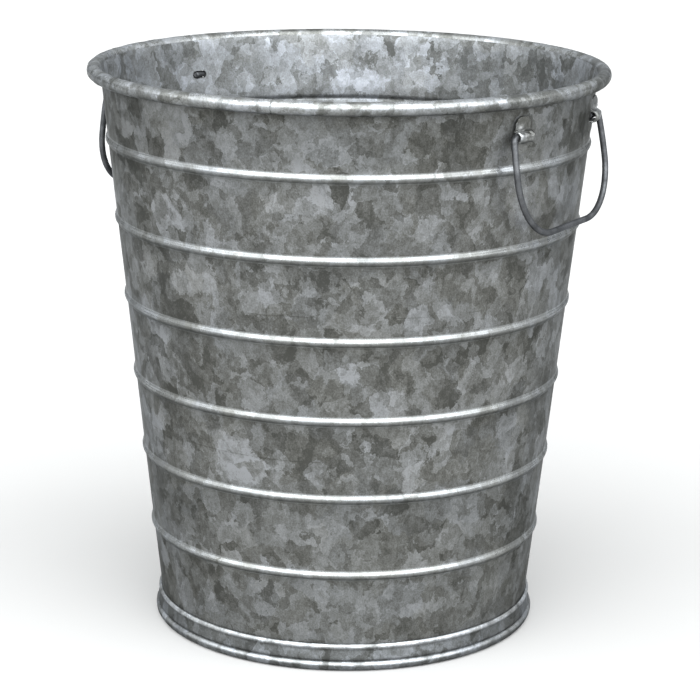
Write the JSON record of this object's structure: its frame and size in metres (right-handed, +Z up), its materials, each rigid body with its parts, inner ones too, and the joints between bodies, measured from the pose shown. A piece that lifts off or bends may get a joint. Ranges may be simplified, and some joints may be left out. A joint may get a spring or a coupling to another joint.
{
  "type": "florist bucket",
  "caption": "Tapered galvanised sheet-steel florist bucket with pressed rings, rolled rim, foot ring and swinging wire side handles, for cut flowers in water.",
  "frame": {"origin": "on the bucket's axis, in the plane its foot rests on", "axes": "+Z up along the bucket's axis, +X towards the middle of handle_right, -X towards the middle of handle_left"},
  "size_m": [0.2781, 0.2782, 0.3048],
  "materials": {
    "galvanised_sheet": "hot-dip galvanised, spangled, weathered",
    "handle_wire": "dark drawn wire, satin"
  },
  "bodies": {
    "bucket": {"body_shell": "galvanised_sheet", "rim_wire": "galvanised_sheet", "bottom_pan": "galvanised_sheet", "foot_band": "galvanised_sheet", "ear_right_front": "galvanised_sheet", "ear_right_rear": "galvanised_sheet", "ear_left_front": "galvanised_sheet", "ear_left_rear": "galvanised_sheet"},
    "handle_right": {"handle_right": "handle_wire"},
    "handle_left": {"handle_left": "handle_wire"}
  },
  "joints": [
    {"name": "handle_right_swing", "type": "hinge", "parent": "bucket", "child": "handle_right", "pos_m": [0.124, 0, 0.2826], "axis": [0, -1, 0], "range_deg": [-6.6, 146]},
    {"name": "handle_left_swing", "type": "hinge", "parent": "bucket", "child": "handle_left", "pos_m": [-0.124, 0, 0.2826], "axis": [0, 1, 0], "range_deg": [-3.2, 149.4]}
  ]
}
